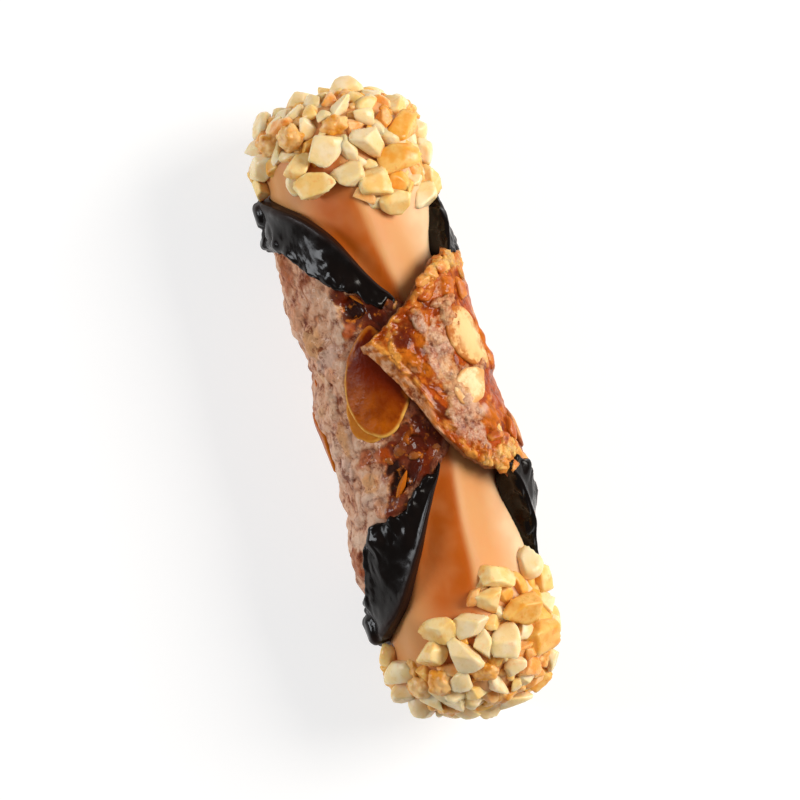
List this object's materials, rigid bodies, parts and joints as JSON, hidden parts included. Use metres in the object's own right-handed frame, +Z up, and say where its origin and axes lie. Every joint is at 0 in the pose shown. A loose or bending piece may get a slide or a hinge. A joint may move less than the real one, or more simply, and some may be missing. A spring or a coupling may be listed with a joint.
{
  "type": "cannoli",
  "caption": "Filled cannoli lying down: caramel almond wafer rolled to a tube, chocolate-dipped mouths, cream through it, and ends crusted in chopped nuts.",
  "frame": {"origin": "on the surface that the part lies on, under the middle of its box", "axes": "+X along the tube towards the head end, +Z up, -Y towards the side that the top flap of the roll comes over from"},
  "size_m": [0.1164, 0.0361, 0.0351],
  "materials": {
    "wafer": "caramelised wafer, rough with small pits, with a sugary gloss in patches",
    "cream": "smooth set cream with a soft satin sheen",
    "chocolate": "lumpy glossy dark chocolate",
    "nuts": "pale chopped nuts with some toasted pieces",
    "almond": "caramel-glazed almond slice with a paler edge"
  },
  "bodies": {
    "root": {"wafer_shell": "wafer", "cream_filling": "cream", "chocolate_head": "chocolate", "chocolate_foot": "chocolate", "nut_crust_head": "nuts", "nut_crust_foot": "nuts", "almond_slice_1": "almond", "almond_slice_2": "almond", "almond_slice_3": "almond", "almond_slice_4": "almond", "almond_slice_5": "almond", "almond_slice_6": "almond", "almond_slice_7": "almond", "almond_slice_8": "almond", "almond_slice_9": "almond", "almond_slice_10": "almond"}
  },
  "joints": []
}
